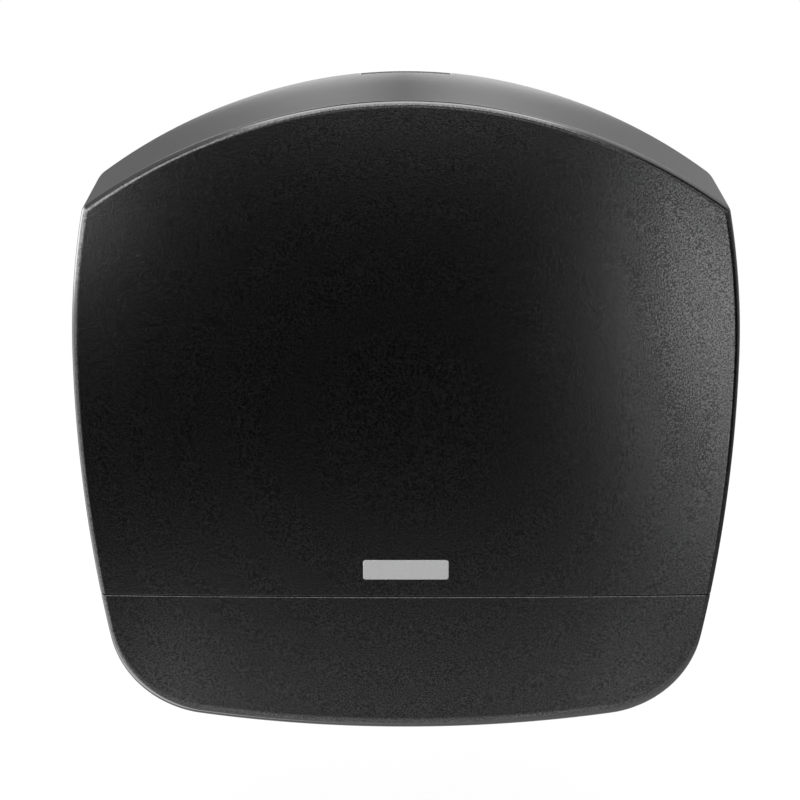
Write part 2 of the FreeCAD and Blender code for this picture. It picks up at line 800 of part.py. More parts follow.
def make_spindle_cap():
    cap = rod_y(0, spindle_z, spindle_end_y - cap_wall, spindle_end_y, cap_radius)
    return cap.cut(screw_hole(0, spindle_z, spindle_end_y - cap_wall, spindle_end_y, cap_screw_radius))


# Holder of the nearly used roll

def make_stub_post():
    flange = rod_y(stub_x, stub_z, plate_front_y - post_flange_wall, plate_front_y, stub_flange_radius)
    stub = join([flange, rod_y(stub_x, stub_z, stub_end_y, plate_front_y, stub_radius)])
    stub = stub.cut(screw_hole(stub_x, stub_z, stub_end_y, stub_end_y + stub_bore_depth, stub_bore_radius))
    for x, z in stub_screw_points():
        stub = stub.cut(screw_hole(x, z, plate_front_y - post_flange_wall, plate_front_y, screw_radius))
    return stub


def make_stub_hub():
    return finned_hub(stub_x, stub_z, stub_hub_front_y, stub_radius + hub_running_gap, stub_hub_outer,
                      stub_core_radius, stub_fins, stub_flange_disc_radius)


def make_stub_washer():
    disc = rod_y(stub_x, stub_z, stub_end_y - stub_washer_wall, stub_end_y, stub_washer_radius)
    return disc.cut(screw_hole(stub_x, stub_z, stub_end_y - stub_washer_wall, stub_end_y, stub_bore_radius))


# Fasteners

def screws_along_y(points, seat_y, radius, length):
    return [screw(vec(x, seat_y, z), (0, 1, 0), radius, length) for x, z in points]


def export(name, *solids):
    """Checks and writes one sub-part"""
    shape = solids[0] if len(solids) == 1 else Part.makeCompound(list(solids))
    for solid in shape.Solids:
        if not solid.isValid() or not solid.isClosed():
            raise ValueError(name + " has a solid that is not valid and closed")
    if len(shape.Solids) != len(solids):
        raise ValueError(name + " is in the wrong number of solids")
    shape.exportStep("parts/" + name + ".step")
    print(name, len(shape.Solids), "solid(s),", round(shape.Volume / 1000, 2), "cm3")


def main():
    os.makedirs("parts", exist_ok=True)
    outer = domed_form(0.0, rim_y, outer_edge_steps)
    inner = domed_form(cover_wall, rim_y + past, inner_edge_steps)

    export("cover_shell", make_cover_shell(outer, inner))
    export("lower_cover", make_lower_cover(outer, inner))
    export("name_plate", make_name_plate())
    tab_seat_y = tab_boss_rear_y + tab_wall
    export("cover_screws", *[screw(vec(x, tab_seat_y, tab_screw_z), (0, -1, 0), small_screw_radius,
                                   tab_wall + tab_screw_depth - screw_tip_gap) for x in tab_positions])
    export("tear_bar", make_tear_bar())
    export("tear_bar_rivets", *make_rivets())
    export("catch_plate", make_catch_plate())
    export("catch_screws", *[screw(vec(x, catch_screw_y, catch_foot_top_z - catch_foot_wall), (0, 0, 1),
                                   small_screw_radius, catch_foot_wall + catch_screw_hole - screw_tip_gap)
                             for x in (-catch_screw_x, catch_screw_x)])

    export("wall_plate", make_wall_plate())
    export("hinge_pins", *make_hinge_pins())

    export("release_button", make_release_button(outer))
    export("latch_slider", make_latch_slider())
    button_points = [(x, button_screw_z) for x in (-button_screw_x, button_screw_x)]
    export("button_screws", *screws_along_y(button_points, slider_front_y, small_screw_radius,
                                            slider_wall + button_screw_hole - screw_tip_gap))
    export("latch_housing", make_latch_housing())
    pilot_depth = pilot_rear_y - plate_front_y - screw_tip_gap
    export("housing_screws", *screws_along_y(housing_screw_points(), plate_front_y - housing_flange_wall,
                                             small_screw_radius, housing_flange_wall + pilot_depth))
    export("latch_spring", make_latch_spring())

    export("spindle_post", make_spindle_post())
    post_points = spindle_screw_points() + stub_screw_points()
    export("post_screws", *screws_along_y(post_points, plate_front_y - post_flange_wall, screw_radius,
                                          post_flange_wall + pilot_depth))
    export("roll_hub", make_roll_hub())
    export("spindle_cap", make_spindle_cap())
    export("spindle_cap_screw", screw(vec(0, spindle_end_y - cap_wall, spindle_z), (0, 1, 0),
                                      cap_screw_radius, cap_wall + cap_screw_depth - screw_tip_gap))

    export("stub_post", make_stub_post())
    export("stub_hub", make_stub_hub())
    export("stub_washer", make_stub_washer())
    export("stub_screw", screw(vec(stub_x, stub_end_y - stub_washer_wall, stub_z), (0, 1, 0),
                               stub_bore_radius, stub_washer_wall + stub_bore_depth - screw_tip_gap))


main()
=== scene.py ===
import math

import bmesh
import bpy
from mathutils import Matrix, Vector


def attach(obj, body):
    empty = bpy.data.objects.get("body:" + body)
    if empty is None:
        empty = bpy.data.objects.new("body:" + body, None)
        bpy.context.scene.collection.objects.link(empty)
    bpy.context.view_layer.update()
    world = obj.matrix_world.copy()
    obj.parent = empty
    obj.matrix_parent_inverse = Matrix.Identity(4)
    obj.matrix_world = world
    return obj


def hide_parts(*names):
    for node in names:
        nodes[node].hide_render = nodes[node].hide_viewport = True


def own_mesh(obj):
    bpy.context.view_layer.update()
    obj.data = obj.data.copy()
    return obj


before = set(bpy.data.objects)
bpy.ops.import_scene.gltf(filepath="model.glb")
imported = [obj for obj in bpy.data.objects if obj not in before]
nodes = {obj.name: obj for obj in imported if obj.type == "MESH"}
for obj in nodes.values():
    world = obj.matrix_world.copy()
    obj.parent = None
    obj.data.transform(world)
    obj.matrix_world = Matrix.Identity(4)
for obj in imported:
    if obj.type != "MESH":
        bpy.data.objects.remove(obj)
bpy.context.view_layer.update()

# A wall dispenser for a jumbo toilet roll. Sizes are in millimetres until a mesh is made.
MM = 0.001

# Outline of the cover, seen from the front
half_width = 201.9
top_z = 198.1
bottom_z = -199.6
widest_z = 43.7
top_arch_radius = 306.0
top_arch_half_turn = math.radians(12.0)
top_flank_radius = 341.5
upper_side_radius = 468.0
lower_side_radius = 948.0
bottom_arch_radius = 950.0
lower_corner_radius = 64.2
shoulder_front_radius = 6.0
shoulder_rear_radius = 17.6

# Depth and the domed front
front_y = -133.0
outline_y = -128.0
side_front_y = -114.0
rim_y = -1.0
dome_radius = 4400.0
top_slope = math.tan(math.radians(0.5))
side_slope = math.tan(math.radians(2.5))
top_edge_radius = 3.5
bottom_edge_radius = 8.5
bottom_edge_start_z = -135.0
bottom_edge_full_z = -186.0
least_radius = 0.4
cover_wall = 3.0

# Rings close to both ends of the rounded front edge keep its shading off the side and the dome
near_edge = 0.96
near_dome = 0.997
dome_spacing = 0.85

# Seam, lap and the parts inside the cover
seam_z = -109.5
seam_gap = 0.5
seam_low = seam_z - seam_gap / 2
seam_high = seam_z + seam_gap / 2
seam_roll = 0.55
lap_gap = 0.25
lap_wall = 2.0
lap_height = 10.0
lap_rear_y = -22.0
lap_bite = 0.5
front_ribs = (-90.0, 0.0, 90.0)
rib_half_width = 1.0
rib_sunk = 0.37
rib_rear_y = -126.5
rib_low_z = -70.0
rib_high_z = 140.0
tabs = (-130.0, 0.0, 130.0)
tab_half_width = 8.0
tab_wall = 2.5
tab_rise = 2.2
tab_foot_rise = 2.0
tab_foot_sunk = 0.6
tab_screw_z = -84.0
tab_boss_radius = 4.5
tab_boss_rear_y = -117.0
tab_hole_depth = 9.0
pilot_radius = 1.5
pilot_sides = 24
reach_past = 5.0

# Bare plate on the front
plate_width = 52.9
plate_height = 12.7
plate_z = -91.6
plate_corner = 1.6
plate_recess = 0.6
plate_proud = 0.3
plate_sunk = 0.55
plate_gap = 0.15
plate_corner_steps = 8

# Pad under the top that the catch plate is screwed to
pad_half_width = 15.0
pad_front_y = -31.0
pad_rear_y = -14.7
pad_low_z = 191.0
pad_high_z = 196.6
catch_screws = (-8.0, 8.0)
catch_screw_y = -25.0
catch_hole_low_z = 190.0
catch_hole_high_z = 195.5

# Push button in the top
button_half_width = 28.7
button_front_y = -7.4
button_rear_y = -1.6
button_gap = 0.6
button_wall = 3.0
button_edge = 0.5
button_edge_steps = 4
button_steps = 24
notch_low_z = 179.0
socket_half_width = 20.0
socket_front_y = -6.8
socket_rear_y = -2.6
socket_low_z = 184.0
socket_high_z = 196.0
button_screws = (-16.6, 16.6)
button_screw_z = 188.0
button_hole_front_y = -7.5
button_hole_rear_y = -3.8

# Bowed spring under the slider of the latch
spring_floor_z = 140.0
spring_height = 10.0
spring_half_span = 15.0
spring_wall = 0.5
spring_width = 6.0
spring_end_gap = 0.1
spring_rear_y = -9.5
spring_steps = 24

# Hinge and paper slot
hinge_y = -22.0
hinge_z = -186.0
knuckle_inner_x = 88.6
knuckle_outer_x = 100.6
knuckle_radius = 6.5
knuckle_sides = 48
pin_hole_inner_x = 87.0
pin_hole_outer_x = 102.0
pin_hole_radius = 2.55
pin_hole_sides = 32
web_behind = 3.0
web_root = 2.6
slot_half_width = 112.0
slot_front_y = -113.0
slot_rear_y = -46.0
slot_corner = 9.0
slot_corner_steps = 8
kerb_height = 14.0
kerb_wall = 2.0
kerb_steps = 28

# Floor, and the camera with its place in metres
floor_z = -308.0
floor_radius = 900.0
floor_sides = 96
floor_glow = 0.92
camera_place = (-0.00363, -1.5616, 0.4033)
camera_drop_degrees = 15.12
camera_lens = 110.0
camera_sensor = 36.0


# Outline arcs

def crossing(centre_a, radius_a, centre_b, radius_b, upper):
    """Where two circles cross, on the right: the upper or the lower point"""
    gap = centre_b - centre_a
    along = (gap.length ** 2 + radius_a ** 2 - radius_b ** 2) / (2 * gap.length)
    across = math.sqrt(radius_a ** 2 - along ** 2)
    unit = gap.normalized()
    foot = centre_a + unit * along
    side = Vector((-unit.y, unit.x)) * across
    right = [p for p in (foot + side, foot - side) if p.x > 0]
    return max(right, key=lambda p: p.y) if upper else min(right, key=lambda p: p.y)


ARC_POINTS = (34, 20, 12, 22, 30, 22, 56, 22, 30, 22, 12, 20)


def shoulder_radius(y):
    """Radius of the two upper corners: large at the wall and small at the front"""
    share = min((rim_y - y) / (rim_y - side_front_y), 1.0)
    return shoulder_rear_radius + share * (shoulder_front_radius - shoulder_rear_radius)


def outline(y, inset):
    """Points of the outline at a depth, clockwise from the upper left, each with its outward direction"""
    top_step = inset - (y - outline_y) * top_slope
    step = inset - (y - outline_y) * side_slope
    shoulder = shoulder_radius(y) - inset
    corner = lower_corner_radius - step
    lean = Vector((math.sin(top_arch_half_turn), math.cos(top_arch_half_turn)))
    top = Vector((0, top_z - top_arch_radius))
    flank = top + lean * (top_arch_radius - top_flank_radius)
    upper = Vector((half_width - upper_side_radius, widest_z))
    lower = Vector((half_width - lower_side_radius, widest_z))
    bottom = Vector((0, bottom_z + bottom_arch_radius))
    flank_r = top_flank_radius - top_step
    upper_r = upper_side_radius - step
    lower_r = lower_side_radius - step
    bottom_r = bottom_arch_radius - step
    shoulder_c = crossing(flank, flank_r - shoulder, upper, upper_r - shoulder, True)
    corner_c = crossing(lower, lower_r - corner, bottom, bottom_r - corner, False)
    top_end = top + lean * (top_arch_radius - top_step)
    flank_end = shoulder_c + (shoulder_c - flank).normalized() * shoulder
    upper_start = shoulder_c + (shoulder_c - upper).normalized() * shoulder
    widest = Vector((half_width - step, widest_z))
    lower_end = corner_c + (corner_c - lower).normalized() * corner
    bottom_start = corner_c + (corner_c - bottom).normalized() * corner
    right = [(flank, top_end, flank_end), (shoulder_c, flank_end, upper_start),
             (upper, upper_start, widest), (lower, widest, lower_end), (corner_c, lower_end, bottom_start)]

    def flip(p):
        return Vector((-p.x, p.y))

    left = [(flip(c), flip(b), flip(a)) for c, a, b in reversed(right)]
    arcs = [(top, flip(top_end), top_end)] + right + [(bottom, bottom_start, flip(bottom_start))] + left
    points = []
    for (centre, start, end), count in zip(arcs, ARC_POINTS):
        arm = start - centre
        turn = arm.angle_signed(end - centre)
        for k in range(count):
            angle = -turn * k / count
            spoke = Vector((arm.x * math.cos(angle) - arm.y * math.sin(angle),
                            arm.x * math.sin(angle) + arm.y * math.cos(angle)))
            points.append((centre + spoke, spoke.normalized()))
    return points


def dome_y(x, z, inset=0.0):
    ball = dome_radius - inset
    return front_y + inset + ball - math.sqrt(ball ** 2 - x ** 2 - z ** 2)


def edge_radius(z, inset):
    share = (bottom_edge_start_z - z) / (bottom_edge_start_z - bottom_edge_full_z)
    share = min(max(share, 0.0), 1.0)
    return max(top_edge_radius + share * (bottom_edge_radius - top_edge_radius) - inset, least_radius)


def side_ring(y, inset):
    return [Vector((p.x, y, p.y)) for p, _ in outline(y, inset)]


def edge_ring(inset, degrees):
    """The outline where the round front edge has turned by an angle"""
    turn = math.radians(degrees)
    ring = []
    for point, outward in outline(outline_y, inset):
        radius = edge_radius(point.y, inset)
        slope = side_slope + max(outward.y, 0.0) * (top_slope - side_slope)
        flare = (dome_y(point.x, point.y, inset) + radius - outline_y) * slope
        moved = point - outward * (radius * (1 - math.cos(turn)) - flare)
        depth = dome_y(moved.x, moved.y, inset) + radius * (1 - math.sin(turn))
        ring.append(Vector((moved.x, depth, moved.y)))
    return ring


def dome_ring(border, share, inset):
    """A ring on the dome, between its border and the centre of the front"""
    return [Vector((p.x * share, dome_y(p.x * share, p.z * share, inset), p.z * share)) for p in border]


def cover_rings(inset, rear_y, side_steps, edge_steps, dome_steps):
    """The cover's form as rings, from the rear over the front edge towards the centre of the dome"""
    side_depth = side_front_y - rear_y
    rings = [side_ring(rear_y + side_depth * k / side_steps, inset) for k in range(side_steps + 1)]
    edge = [edge_ring(inset, 90 * k / edge_steps) for k in range(edge_steps + 1)]
    border = edge[-1]
    rings.append([p.lerp(q, near_edge) for p, q in zip(rings[-1], edge[0])])
    rings += edge + [dome_ring(border, near_dome, inset)]
    for k in range(1, dome_steps):
        rings.append(dome_ring(border, 1 - (k / dome_steps) ** dome_spacing, inset))
    return rings


# Mesh making

def new_piece(name, mesh, material, smooth_degrees=32.0):
    """A scene object from a bmesh in millimetres"""
    data = bpy.data.meshes.new(name)
    bmesh.ops.scale(mesh, vec=(MM, MM, MM), verts=mesh.verts)
    mesh.to_mesh(data)
    mesh.free()
    for polygon in data.polygons:
        polygon.use_smooth = True
    data.set_sharp_from_angle(angle=math.radians(smooth_degrees))
    keep_skin_normals(data)
    piece = bpy.data.objects.new(name, data)
    bpy.context.scene.collection.objects.link(piece)
    data.materials.append(material)
    return piece


def keep_skin_normals(data):
    """Cuts leave long thin faces in a curved skin, so its corners keep the directions of the uncut skin"""
    kept = data.attributes.get("outward")
    if kept is None:
        return
    directions = [Vector(entry.vector) for entry in kept.data]
    normals = []
    for polygon in data.polygons:
        for index in polygon.vertices:
            direction = directions[index]
            if direction.length < 0.5:
                at = data.vertices[index].co / MM
                if abs(at.y - dome_y(at.x, at.z)) < 0.01:
                    direction = Vector((at.x, at.y - front_y - dome_radius, at.z))
            same = direction.length > 0.5 and polygon.normal.dot(direction.normalized()) > 0.8
            normals.append(direction.normalized() if same else Vector())
    data.attributes.remove(kept)
    data.normals_split_custom_set(normals)


def add_rings(mesh, rings, flip=False):
    """Faces between neighbouring rings of equal length"""
    loops = [[mesh.verts.new(p) for p in ring] for ring in rings]
    for lower, upper in zip(loops, loops[1:]):
        join_loops(mesh, lower, upper, flip)
    return loops


def close_centre(mesh, loop, point, flip=False):
    centre = mesh.verts.new(point)
    for k in range(len(loop)):
        corners = [loop[k], loop[(k + 1) % len(loop)], centre]
        mesh.faces.new(corners[::-1] if flip else corners)


def join_loops(mesh, a, b, flip=False):
    for k in range(len(a)):
        n = (k + 1) % len(a)
        corners = [a[k], a[n], b[n], b[k]]
        mesh.faces.new(corners[::-1] if flip else corners)


def shell_form(outer_inset, inner_inset, rear_y, fine):
    """The closed wall between two insets of the cover's form"""
    mesh = bmesh.new()
    skin = mesh.verts.layers.float.new("skin")
    outward = mesh.verts.layers.float_vector.new("outward")
    edge_steps, dome_steps = (9, 26) if fine else (3, 10)
    outer = add_rings(mesh, cover_rings(outer_inset, rear_y, 6, edge_steps, dome_steps))
    close_centre(mesh, outer[-1], Vector((0, dome_y(0, 0, outer_inset), 0)))
    mesh.normal_update()
    facing = 1 if outer[-1][0].normal.y < 0 else -1
    for vert in mesh.verts:
        vert[skin] = 1.0
        vert[outward] = vert.normal * facing
    inner = add_rings(mesh, cover_rings(inner_inset, rear_y, 4, 4, 10), flip=True)
    close_centre(mesh, inner[-1], Vector((0, dome_y(0, 0, inner_inset), 0)), flip=True)
    join_loops(mesh, outer[0], inner[0], flip=True)
    bmesh.ops.recalc_face_normals(mesh, faces=mesh.faces)
    return mesh


def slice_off(mesh, z, keep_above, roll=0.0):
    """Cuts a closed mesh at a height, closes it, and rolls the outer edge of the cut inwards"""
    side = 1 if keep_above else -1
    if roll:
        for share in (1.0, 0.45, 0.12):
            bmesh.ops.bisect_plane(mesh, geom=mesh.verts[:] + mesh.edges[:] + mesh.faces[:],
                                   plane_co=(0, 0, z + side * roll * share), plane_no=(0, 0, 1))
    bmesh.ops.bisect_plane(mesh, geom=mesh.verts[:] + mesh.edges[:] + mesh.faces[:], plane_co=(0, 0, z),
                           plane_no=(0, 0, 1), clear_inner=keep_above, clear_outer=not keep_above)
    skin = mesh.verts.layers.float.get("skin")
    outward = mesh.verts.layers.float_vector.get("outward")
    if roll:
        mesh.normal_update()
        moves = []
        for vert in mesh.verts:
            depth = abs(vert.co.z - z)
            if vert[skin] > 0.99 and depth < roll:
                drop = roll - math.sqrt(max(roll ** 2 - (roll - depth) ** 2, 0.0))
                normal = sum((face.normal for face in vert.link_faces), Vector())
                normal.z = 0
                moves.append((vert, normal.normalized() * -drop, (roll - depth) / roll))
        for vert, move, lean in moves:
            vert.co += move
            upright = math.sqrt(max(1 - lean ** 2, 0.0))
            vert[outward] = vert[outward] * upright + Vector((0, 0, -side * lean))
    border = [e for e in mesh.edges if e.is_boundary]
    made = bmesh.ops.holes_fill(mesh, edges=border, sides=0)
    bmesh.ops.triangulate(mesh, faces=made["faces"])
    bmesh.ops.recalc_face_normals(mesh, faces=mesh.faces)


def block(mesh, x0, x1, y0, y1, z0, z1):
    made = bmesh.ops.create_cube(mesh, size=1.0)["verts"]
    for vert in made:
        vert.co = Vector((x0 + (vert.co.x + 0.5) * (x1 - x0), y0 + (vert.co.y + 0.5) * (y1 - y0),
                          z0 + (vert.co.z + 0.5) * (z1 - z0)))
    return made


def rod(mesh, start, end, radius, sides=40):
    """A closed round bar between two points"""
    start, end = Vector(start), Vector(end)
    facing = (end - start).to_track_quat("Z", "Y").to_matrix()
    loops = []
    for at in (start, end):
        loop = []
        for k in range(sides):
            turn = 2 * math.pi * k / sides
            spoke = Vector((radius * math.cos(turn), radius * math.sin(turn), 0))
            loop.append(mesh.verts.new(at + facing @ spoke))
        loops.append(loop)
    join_loops(mesh, loops[0], loops[1])
    mesh.faces.new(loops[0][::-1])
    mesh.faces.new(loops[1])


def rounded_patch(half_w, half_h, corner, steps=6):
    """Points round a rounded rectangle with its centre at zero"""
    points = []
    for cx, cz, start in ((1, 1, 0), (-1, 1, 90), (-1, -1, 180), (1, -1, 270)):
        for k in range(steps + 1):
            angle = math.radians(start + 90 * k / steps)
            points.append((cx * (half_w - corner) + corner * math.cos(angle),
                           cz * (half_h - corner) + corner * math.sin(angle)))
    return points


def combine(target, other, operation):
    """Joins or cuts one closed mesh with another; both are in millimetres, and the first is changed"""
    pair = []
    for mesh in (target, other):
        bmesh.ops.recalc_face_normals(mesh, faces=mesh.faces)
        data = bpy.data.meshes.new("work")
        mesh.to_mesh(data)
        piece = bpy.data.objects.new("work", data)
        bpy.context.scene.collection.objects.link(piece)
        pair.append(piece)
    cut = pair[0].modifiers.new("cut", "BOOLEAN")
    cut.operation = operation
    cut.object = pair[1]
    cut.solver = "EXACT"
    bpy.context.view_layer.update()
    result = bpy.data.meshes.new_from_object(pair[0].evaluated_get(bpy.context.evaluated_depsgraph_get()))
    target.clear()
    target.from_mesh(result)
    for piece in pair:
        bpy.data.objects.remove(piece)
    bpy.data.meshes.remove(result)
    other.free()


def tidy(mesh):
    bmesh.ops.remove_doubles(mesh, verts=mesh.verts, dist=0.0005)
    bmesh.ops.dissolve_degenerate(mesh, edges=mesh.edges, dist=0.0005)


# Shader maths

class Value:
    """A number that varies over a surface. Sums and products of it add Math nodes."""

    def __init__(self, finish, socket):
        self.finish = finish
        self.socket = socket

    def maths(self, operation, *others):
        inputs = {k: v for k, v in enumerate((self,) + others)}
        return self.finish.node("ShaderNodeMath", {"operation": operation}, inputs).value()

    def __add__(self, other):
        return self.maths("ADD", other)

    __radd__ = __add__

    def __mul__(self, other):
        return self.maths("MULTIPLY", other)

    __rmul__ = __mul__

    def __sub__(self, other):
        return self.maths("SUBTRACT", other)

    def __rsub__(self, other):
        return (self * -1) + other

    def __truediv__(self, other):
        return self.maths("DIVIDE", other)

    def size(self):
        return self.maths("ABSOLUTE")

    def between(self, low, high):
        """0 below low, 1 above high, and a smooth rise between them"""
        inputs = {"Value": self, "From Min": low, "From Max": high, "To Min": 0.0, "To Max": 1.0}
        settings = {"interpolation_type": "SMOOTHSTEP"}
        return self.finish.node("ShaderNodeMapRange", settings, inputs).value("Result")


class Made:
    """A node that has been made, with its outputs by name"""

    def __init__(self, finish, node):
        self.finish = finish
        self.node = node

    def out(self, name=0):
        return self.node.outputs[name]

    def value(self, name=0):
        return Value(self.finish, self.node.outputs[name])


class Finish:
    """The node tree of one material or of the world"""

    def __init__(self, tree):
        self.tree = tree
        tree.nodes.clear()

    def node(self, kind, settings=None, inputs=None):
        made = self.tree.nodes.new(kind)
        for name, setting in (settings or {}).items():
            setattr(made, name, setting)
        for name, given in (inputs or {}).items():
            self.feed(made.inputs[name], given)
        return Made(self, made)

    def feed(self, socket, given):
        if isinstance(given, Value):
            self.tree.links.new(given.socket, socket)
        elif isinstance(given, bpy.types.NodeSocket):
            self.tree.links.new(given, socket)
        else:
            socket.default_value = given

    def place(self):
        """Where a point is on its own piece, in metres"""
        return self.node("ShaderNodeTexCoord").out("Object")

    def axes(self, vector):
        parts = self.node("ShaderNodeSeparateXYZ", None, {0: vector})
        return parts.value("X"), parts.value("Y"), parts.value("Z")

    def stretched(self, vector, x, y, z):
        return self.node("ShaderNodeVectorMath", {"operation": "MULTIPLY"}, {0: vector, 1: (x, y, z)}).out()

    def noise(self, vector, scale, detail=2.0, roughness=0.5):
        inputs = {"Vector": vector, "Scale": scale, "Detail": detail, "Roughness": roughness}
        return self.node("ShaderNodeTexNoise", None, inputs).value("Fac")

    def tinted(self, share, low, high):
        """A colour between two, by a share. A Mix node has its colour sockets at these places"""
        inputs = {0: share, 6: (*low, 1.0), 7: (*high, 1.0)}
        return self.node("ShaderNodeMix", {"data_type": "RGBA"}, inputs).out(2)

    def bump(self, height, distance, strength=1.0, normal=None):
        inputs = {"Height": height, "Distance": distance, "Strength": strength}
        if normal is not None:
            inputs["Normal"] = normal
        return self.node("ShaderNodeBump", None, inputs).out()

    def surface(self, inputs):
        shader = self.node("ShaderNodeBsdfPrincipled", None, inputs)
        self.node("ShaderNodeOutputMaterial", None, {"Surface": shader.out("BSDF")})


def finish_named(name):
    material = bpy.data.materials.new(name)
    material.use_nodes = True
    return material, Finish(material.node_tree)


def grained_plastic(name):
    """Black moulded plastic: a fine spark-eroded grain on the front, satin on the sides and inside"""
    material, f = finish_named(name)
    place = f.place()
    x, y, z = f.axes(place)
    behind_dome = y - (x * x + z * z) / (2 * dome_radius * MM) - front_y * MM
    front = 1 - behind_dome.between(0.0002, 0.0012)
    edge = behind_dome.between(0.0004, 0.0014) * (1 - behind_dome.between(0.0028, 0.0036))
    grain = f.noise(place, scale=1250.0, detail=1.0, roughness=0.5)
    specks = f.noise(place, scale=1050.0, detail=1.0, roughness=0.5).between(0.34, 0.66)
    sink = f.noise(place, scale=14.0, detail=1.0, roughness=0.4)
    colour = f.tinted(specks, low=(0.0002, 0.0002, 0.0002), high=(0.0034, 0.0034, 0.0036))
    crown = (y / 0.035).maths("EXPONENT") * 1.2
    soft = f.bump(crown + sink * 0.08, distance=0.001)
    gloss = front * (specks * 0.55 + 0.02) + (1 - front) * 0.3 + edge * 0.7
    f.surface({"Base Color": colour, "Roughness": 0.125, "Coat Weight": gloss,
               "Coat Roughness": 0.12, "Coat IOR": 1.8,
               "Normal": f.bump(grain * front, distance=0.0001, strength=0.5, normal=soft)})
    return material


def satin_plastic(name, low, high, roughness):
    material, f = finish_named(name)
    place = f.place()
    cloud = f.noise(place, scale=35.0, detail=3.0, roughness=0.55)
    fine = f.noise(place, scale=700.0)
    f.surface({"Base Color": f.tinted(cloud, low, high), "Roughness": cloud * 0.08 + (roughness - 0.04),
               "Normal": f.bump(fine, distance=0.00003, strength=0.6)})
    return material


def bare_metal(name, low, high, roughness, along, metallic=1.0):
    """Metal with fine lines along one direction: the stretch factors are large across the lines"""
    material, f = finish_named(name)
    place = f.place()
    lines = f.noise(f.stretched(place, *along), scale=1.0, detail=3.0, roughness=0.6)
    cloud = f.noise(place, scale=60.0, detail=3.0, roughness=0.6)
    f.surface({"Base Color": f.tinted(lines * 0.6 + cloud * 0.4, low, high), "Metallic": metallic,
               "Roughness": lines * 0.1 + (roughness - 0.05),
               "Normal": f.bump(lines, distance=0.00001, strength=0.4)})
    return material


black_plastic = grained_plastic("grained_black_plastic")
button_plastic = satin_plastic("satin_black_plastic", low=(0.0036, 0.0036, 0.0038),
                               high=(0.0052, 0.0052, 0.0054), roughness=0.30)
frame_plastic = satin_plastic("dark_grey_plastic", low=(0.070, 0.073, 0.077),
                              high=(0.095, 0.098, 0.102), roughness=0.42)
hub_plastic = satin_plastic("mid_grey_plastic", low=(0.27, 0.28, 0.29),
                            high=(0.33, 0.34, 0.35), roughness=0.38)
bare_plate = bare_metal("bare_plate", low=(0.21, 0.21, 0.213), high=(0.255, 0.255, 0.258),
                        roughness=0.42, along=(90.0, 90.0, 2600.0), metallic=0.15)
zinc_steel = bare_metal("zinc_steel", low=(0.52, 0.52, 0.53), high=(0.64, 0.64, 0.65),
                        roughness=0.30, along=(900.0, 900.0, 900.0))
spring_steel = bare_metal("spring_steel", low=(0.40, 0.40, 0.41), high=(0.52, 0.52, 0.53),
                          roughness=0.28, along=(60.0, 1800.0, 60.0))
tooth_steel = bare_metal("tooth_steel", low=(0.55, 0.55, 0.56), high=(0.68, 0.68, 0.69),
                         roughness=0.26, along=(60.0, 2200.0, 2200.0))


# The cover above the seam

def pilot_hole(mesh, start, end):
    rod(mesh, start, end, pilot_radius, pilot_sides)


def upper_cover():
    mesh = shell_form(0.0, cover_wall, rim_y, True)
    slice_off(mesh, seam_high, True, seam_roll)
    inside = bmesh.new()
    for x in tabs:
        root_y = dome_y(x, tab_screw_z, cover_wall / 2)
        rod(inside, (x, root_y, tab_screw_z), (x, tab_boss_rear_y, tab_screw_z), tab_boss_radius)
    for x in front_ribs:
        rib_front_y = dome_y(x, rib_high_z) + rib_sunk
        block(inside, x - rib_half_width, x + rib_half_width, rib_front_y, rib_rear_y, rib_low_z, rib_high_z)
    block(inside, -pad_half_width, pad_half_width, pad_front_y, pad_rear_y, pad_low_z, pad_high_z)
    combine(mesh, inside, "UNION")
    cuts = bmesh.new()
    notch = button_half_width + button_gap
    block(cuts, -notch, notch, button_front_y - button_gap, reach_past, notch_low_z, top_z + 2 * reach_past)
    tab_hole_y = tab_boss_rear_y - tab_hole_depth
    for x in tabs:
        pilot_hole(cuts, (x, tab_hole_y, tab_screw_z), (x, tab_boss_rear_y + 1, tab_screw_z))
    for x in catch_screws:
        pilot_hole(cuts, (x, catch_screw_y, catch_hole_low_z), (x, catch_screw_y, catch_hole_high_z))
    floor_y = dome_y(0, plate_z, plate_recess)
    points = rounded_patch(plate_width / 2 + plate_gap, plate_height / 2 + plate_gap,
                           plate_corner + plate_gap)
    front, back = ([cuts.verts.new((px, y, plate_z + pz)) for px, pz in points]
                   for y in (front_y - reach_past, floor_y))
    join_loops(cuts, front, back)
    cuts.faces.new(front)
    cuts.faces.new(back[::-1])
    combine(mesh, cuts, "DIFFERENCE")
    tidy(mesh)
    return new_piece("upper_cover", mesh, black_plastic)


def slot_kerb():
    """The low wall behind the slot, which starts inside the drafted floor"""
    kerb = bmesh.new()
    rings = []
    front, rear = slot_rear_y, slot_rear_y + kerb_wall
    high = bottom_z + kerb_height
    for step in range(kerb_steps + 1):
        x = -slot_half_width + 2 * slot_half_width * step / kerb_steps
        arch_radius = bottom_arch_radius - cover_wall / 2 + (slot_rear_y - outline_y) * side_slope
        low = bottom_z + bottom_arch_radius - math.sqrt(arch_radius ** 2 - x ** 2)
        rings.append([(x, front, low), (x, rear, low), (x, rear, high), (x, front, high)])
    loops = add_rings(kerb, rings)
    kerb.faces.new(loops[0][::-1])
    kerb.faces.new(loops[-1])
    return kerb


